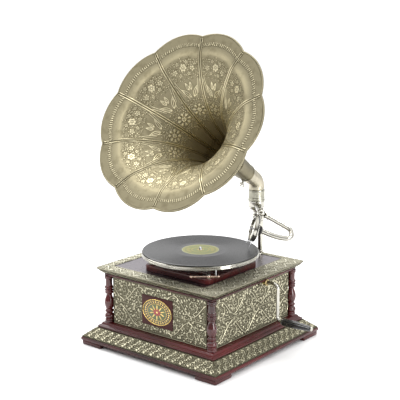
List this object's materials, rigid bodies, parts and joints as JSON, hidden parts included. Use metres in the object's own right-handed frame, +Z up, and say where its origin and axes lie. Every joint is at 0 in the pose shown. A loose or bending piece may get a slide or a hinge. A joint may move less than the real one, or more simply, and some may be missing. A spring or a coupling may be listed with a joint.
{
  "type": "horn phonograph",
  "caption": "Wind-up horn phonograph: petalled horn on a swivelling elbow, sound arm with gooseneck and sound box, turntable, crank, and a spring motor in a stepped wooden case.",
  "frame": {"origin": "middle of the whole machine seen from above, on the floor under the feet", "axes": "+Z up, +X towards the crank, -Y towards the front, where the badge is"},
  "size_m": [0.4546, 0.4212, 0.6781],
  "materials": {
    "mahogany": "gloss varnish",
    "embossed_sheet": "antiqued",
    "horn_brass": "antiqued",
    "nickel": "polished",
    "steel": "satin",
    "brass": "satin",
    "blackened_iron": "painted",
    "black_lacquer": "gloss lacquer",
    "shellac": "gloss",
    "paper": "matte",
    "felt": "matte",
    "rubber": "matte",
    "mica": "clear",
    "badge_ground": "satin",
    "badge_gold": "satin"
  },
  "bodies": {
    "case": {"foot_front_right": "mahogany", "foot_back_right": "mahogany", "foot_back_left": "mahogany", "foot_front_left": "mahogany", "plinth_board": "mahogany", "base_moulding": "mahogany", "case_walls": "mahogany", "column_front_right": "mahogany", "column_back_right": "mahogany", "column_back_left": "mahogany", "column_front_left": "mahogany", "cornice": "mahogany", "top_board": "mahogany", "motor_board": "mahogany", "plinth_sheet": "embossed_sheet", "wall_sheet_front": "embossed_sheet", "wall_sheet_right": "embossed_sheet", "wall_sheet_back": "embossed_sheet", "wall_sheet_left": "embossed_sheet", "top_sheet": "embossed_sheet", "badge_plate": "badge_ground", "badge_oval": "badge_gold", "crank_bush": "brass", "brake_post": "nickel", "pillar": "nickel", "spigot": "nickel", "hanging_bolts": "steel", "lower_plate": "blackened_iron", "upper_plate": "blackened_iron"},
    "turntable": {"platter": "nickel", "felt_mat": "felt", "record": "shellac", "label": "paper", "spindle": "steel", "spindle_wheels": "brass"},
    "second_arbor": {"second_wheel": "brass"},
    "barrel": {"spring_barrel": "blackened_iron", "mainspring": "steel"},
    "winding_arbor": {"winding_wheel": "brass"},
    "crank": {"crank_rod": "nickel", "winding_pinion": "brass"},
    "crank_handle": {"crank_grip": "black_lacquer"},
    "governor_shaft": {"governor": "steel"},
    "brake": {"brake_lever": "nickel", "brake_shoe": "felt"},
    "speed": {"speed_lever": "nickel"},
    "arm": {"swivel_cup": "nickel", "arm_tube": "nickel"},
    "gooseneck_unit": {"gooseneck": "nickel", "rubber_flange": "rubber", "sound_box_shell": "nickel", "diaphragm": "mica", "stylus_bar": "steel", "needle": "steel"},
    "horn": {"sleeve": "nickel", "elbow": "horn_brass", "horn_neck": "horn_brass", "horn_petals": "horn_brass", "rim_wire": "horn_brass", "thumb_screw": "nickel"}
  },
  "joints": [
    {"name": "turntable_spin", "type": "hinge", "parent": "case", "child": "turntable", "pos_m": [-0.0191, -0.00296, 0.2167], "axis": [0, 0, 1], "continuous": true},
    {"name": "second_arbor_spin", "type": "hinge", "parent": "case", "child": "second_arbor", "pos_m": [-0.05509, 0.00758, 0.12], "axis": [0, 0, 1], "continuous": true},
    {"name": "barrel_spin", "type": "hinge", "parent": "case", "child": "barrel", "pos_m": [-0.059, 0.06144, 0.1], "axis": [0, 0, 1], "continuous": true},
    {"name": "governor_spin", "type": "hinge", "parent": "case", "child": "governor_shaft", "pos_m": [-0.0191, -0.03256, 0.104], "axis": [1, 0, 0], "continuous": true},
    {"name": "crank_turn", "type": "hinge", "parent": "case", "child": "crank", "pos_m": [0.111, 0.06144, 0.1525], "axis": [1, 0, 0], "continuous": true},
    {"name": "winding_arbor_turn", "type": "hinge", "parent": "case", "child": "winding_arbor", "pos_m": [-0.059, 0.06144, 0.13], "axis": [0, 0, 1], "continuous": true},
    {"name": "crank_handle_spin", "type": "hinge", "parent": "crank", "child": "crank_handle", "pos_m": [0.186, 0.06144, 0.073], "axis": [1, 0, 0], "continuous": true},
    {"name": "brake_swing", "type": "hinge", "parent": "case", "child": "brake", "pos_m": [0.065, -0.08006, 0.1905], "axis": [0, 0, 1], "range_deg": [-14, 30]},
    {"name": "speed_turn", "type": "hinge", "parent": "case", "child": "speed", "pos_m": [-0.095, -0.07406, 0.187], "axis": [0, 0, 1], "range_deg": [-30, 30]},
    {"name": "arm_swing", "type": "hinge", "parent": "case", "child": "arm", "pos_m": [0.001, 0.17394, 0.288], "axis": [0, 0, 1], "range_deg": [-34, 40]},
    {"name": "gooseneck_lift", "type": "hinge", "parent": "arm", "child": "gooseneck_unit", "pos_m": [0.061, 0.11094, 0.288], "axis": [-0.621, -0.5914, 0.5145], "range_deg": [0, 90]},
    {"name": "horn_swivel", "type": "hinge", "parent": "case", "child": "horn", "pos_m": [0.001, 0.17394, 0.322], "axis": [0, 0, 1], "range_deg": [-60, 60]}
  ],
  "couplings": [
    {"joint": "second_arbor_spin", "follows": "turntable_spin", "ratio": -0.25},
    {"joint": "barrel_spin", "follows": "turntable_spin", "ratio": 0.05},
    {"joint": "governor_spin", "follows": "turntable_spin", "ratio": -15},
    {"joint": "winding_arbor_turn", "follows": "crank_turn", "ratio": 0.3}
  ]
}
